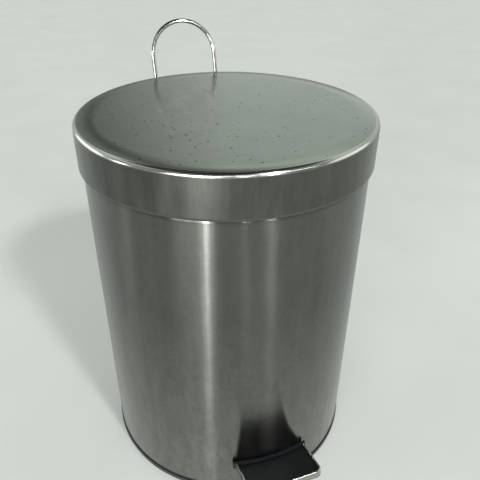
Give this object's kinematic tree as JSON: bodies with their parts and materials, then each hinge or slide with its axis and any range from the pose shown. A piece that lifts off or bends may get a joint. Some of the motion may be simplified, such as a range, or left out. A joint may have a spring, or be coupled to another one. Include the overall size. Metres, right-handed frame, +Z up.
{
  "type": "pedal trash can",
  "caption": "Round step-pedal waste bin with a hinged steel lid, a wire carrying handle, a push rod linkage and a lift-out inner bucket.",
  "frame": {"origin": "on the floor, on the bin's axis", "axes": "+Z up; -Y towards the pedal; +Y towards the hinge; +X to the right as seen from the pedal"},
  "size_m": [0.2052, 0.2545, 0.3145],
  "materials": {
    "body_steel": "stainless sheet, brushed round the body",
    "lid_steel": "stainless sheet, brushed, flat top",
    "pedal_steel": "stainless sheet with a polished hem",
    "plated_steel": "zinc-plated pressed steel",
    "plated_wire": "zinc-plated drawn wire",
    "spring_steel": "dark spring steel",
    "rivet_metal": "plain aluminium",
    "polished_wire": "polished wire",
    "base_plastic": "moulded black",
    "hinge_plastic": "moulded black",
    "bucket_plastic": "moulded dark grey",
    "grip_plastic": "moulded black",
    "nylon": "natural nylon",
    "pad_rubber": "smooth black rubber",
    "foot_rubber": "black rubber"
  },
  "bodies": {
    "body": {"outer_body": "body_steel", "base_moulding": "base_plastic", "base_feet": "foot_rubber", "lever_axle": "plated_steel", "axle_clips": "spring_steel", "lever_stop": "foot_rubber", "rod_guide": "hinge_plastic", "hinge_housing": "hinge_plastic", "hinge_rivets": "rivet_metal"},
    "pedal": {"pedal_lever": "plated_steel", "pedal_plate": "pedal_steel", "pedal_pad": "pad_rubber", "pedal_rivets": "rivet_metal"},
    "rod": {"push_rod": "plated_wire", "rod_clips": "spring_steel"},
    "lid": {"lid_shell": "lid_steel", "lid_bracket": "plated_steel", "hinge_bushes": "nylon", "lid_bumpers": "foot_rubber"},
    "handle": {"carry_handle": "polished_wire"},
    "bucket": {"inner_bucket": "bucket_plastic"},
    "bail": {"bucket_bail": "plated_wire", "bail_grip": "grip_plastic"}
  },
  "joints": [
    {"name": "lid_open", "type": "hinge", "parent": "body", "child": "lid", "pos_m": [0, 0.103, 0.25], "axis": [-1, 0, 0], "range_deg": [0, 80]},
    {"name": "pedal_press", "type": "hinge", "parent": "body", "child": "pedal", "pos_m": [0, -0.002, 0.012], "axis": [1, 0, 0], "range_deg": [0, 10.11]},
    {"name": "rod_lift", "type": "slide", "parent": "body", "child": "rod", "axis": [0, 0, 1], "range_m": [0, 0.01672]},
    {"name": "handle_swing", "type": "hinge", "parent": "lid", "child": "handle", "pos_m": [0, 0.103, 0.25], "axis": [-1, 0, 0], "range_deg": [0, 75]},
    {"name": "bucket_lift", "type": "slide", "parent": "body", "child": "bucket", "axis": [0, 0, 1], "range_m": [0, 0.01]},
    {"name": "bail_swing", "type": "hinge", "parent": "bucket", "child": "bail", "pos_m": [0, 0, 0.2485], "axis": [-1, 0, 0], "range_deg": [0, 8]}
  ],
  "couplings": [
    {"joint": "pedal_press", "follows": "lid_open", "ratio": 0.12631},
    {"joint": "rod_lift", "follows": "lid_open", "m_per_rad": 0.011969}
  ]
}
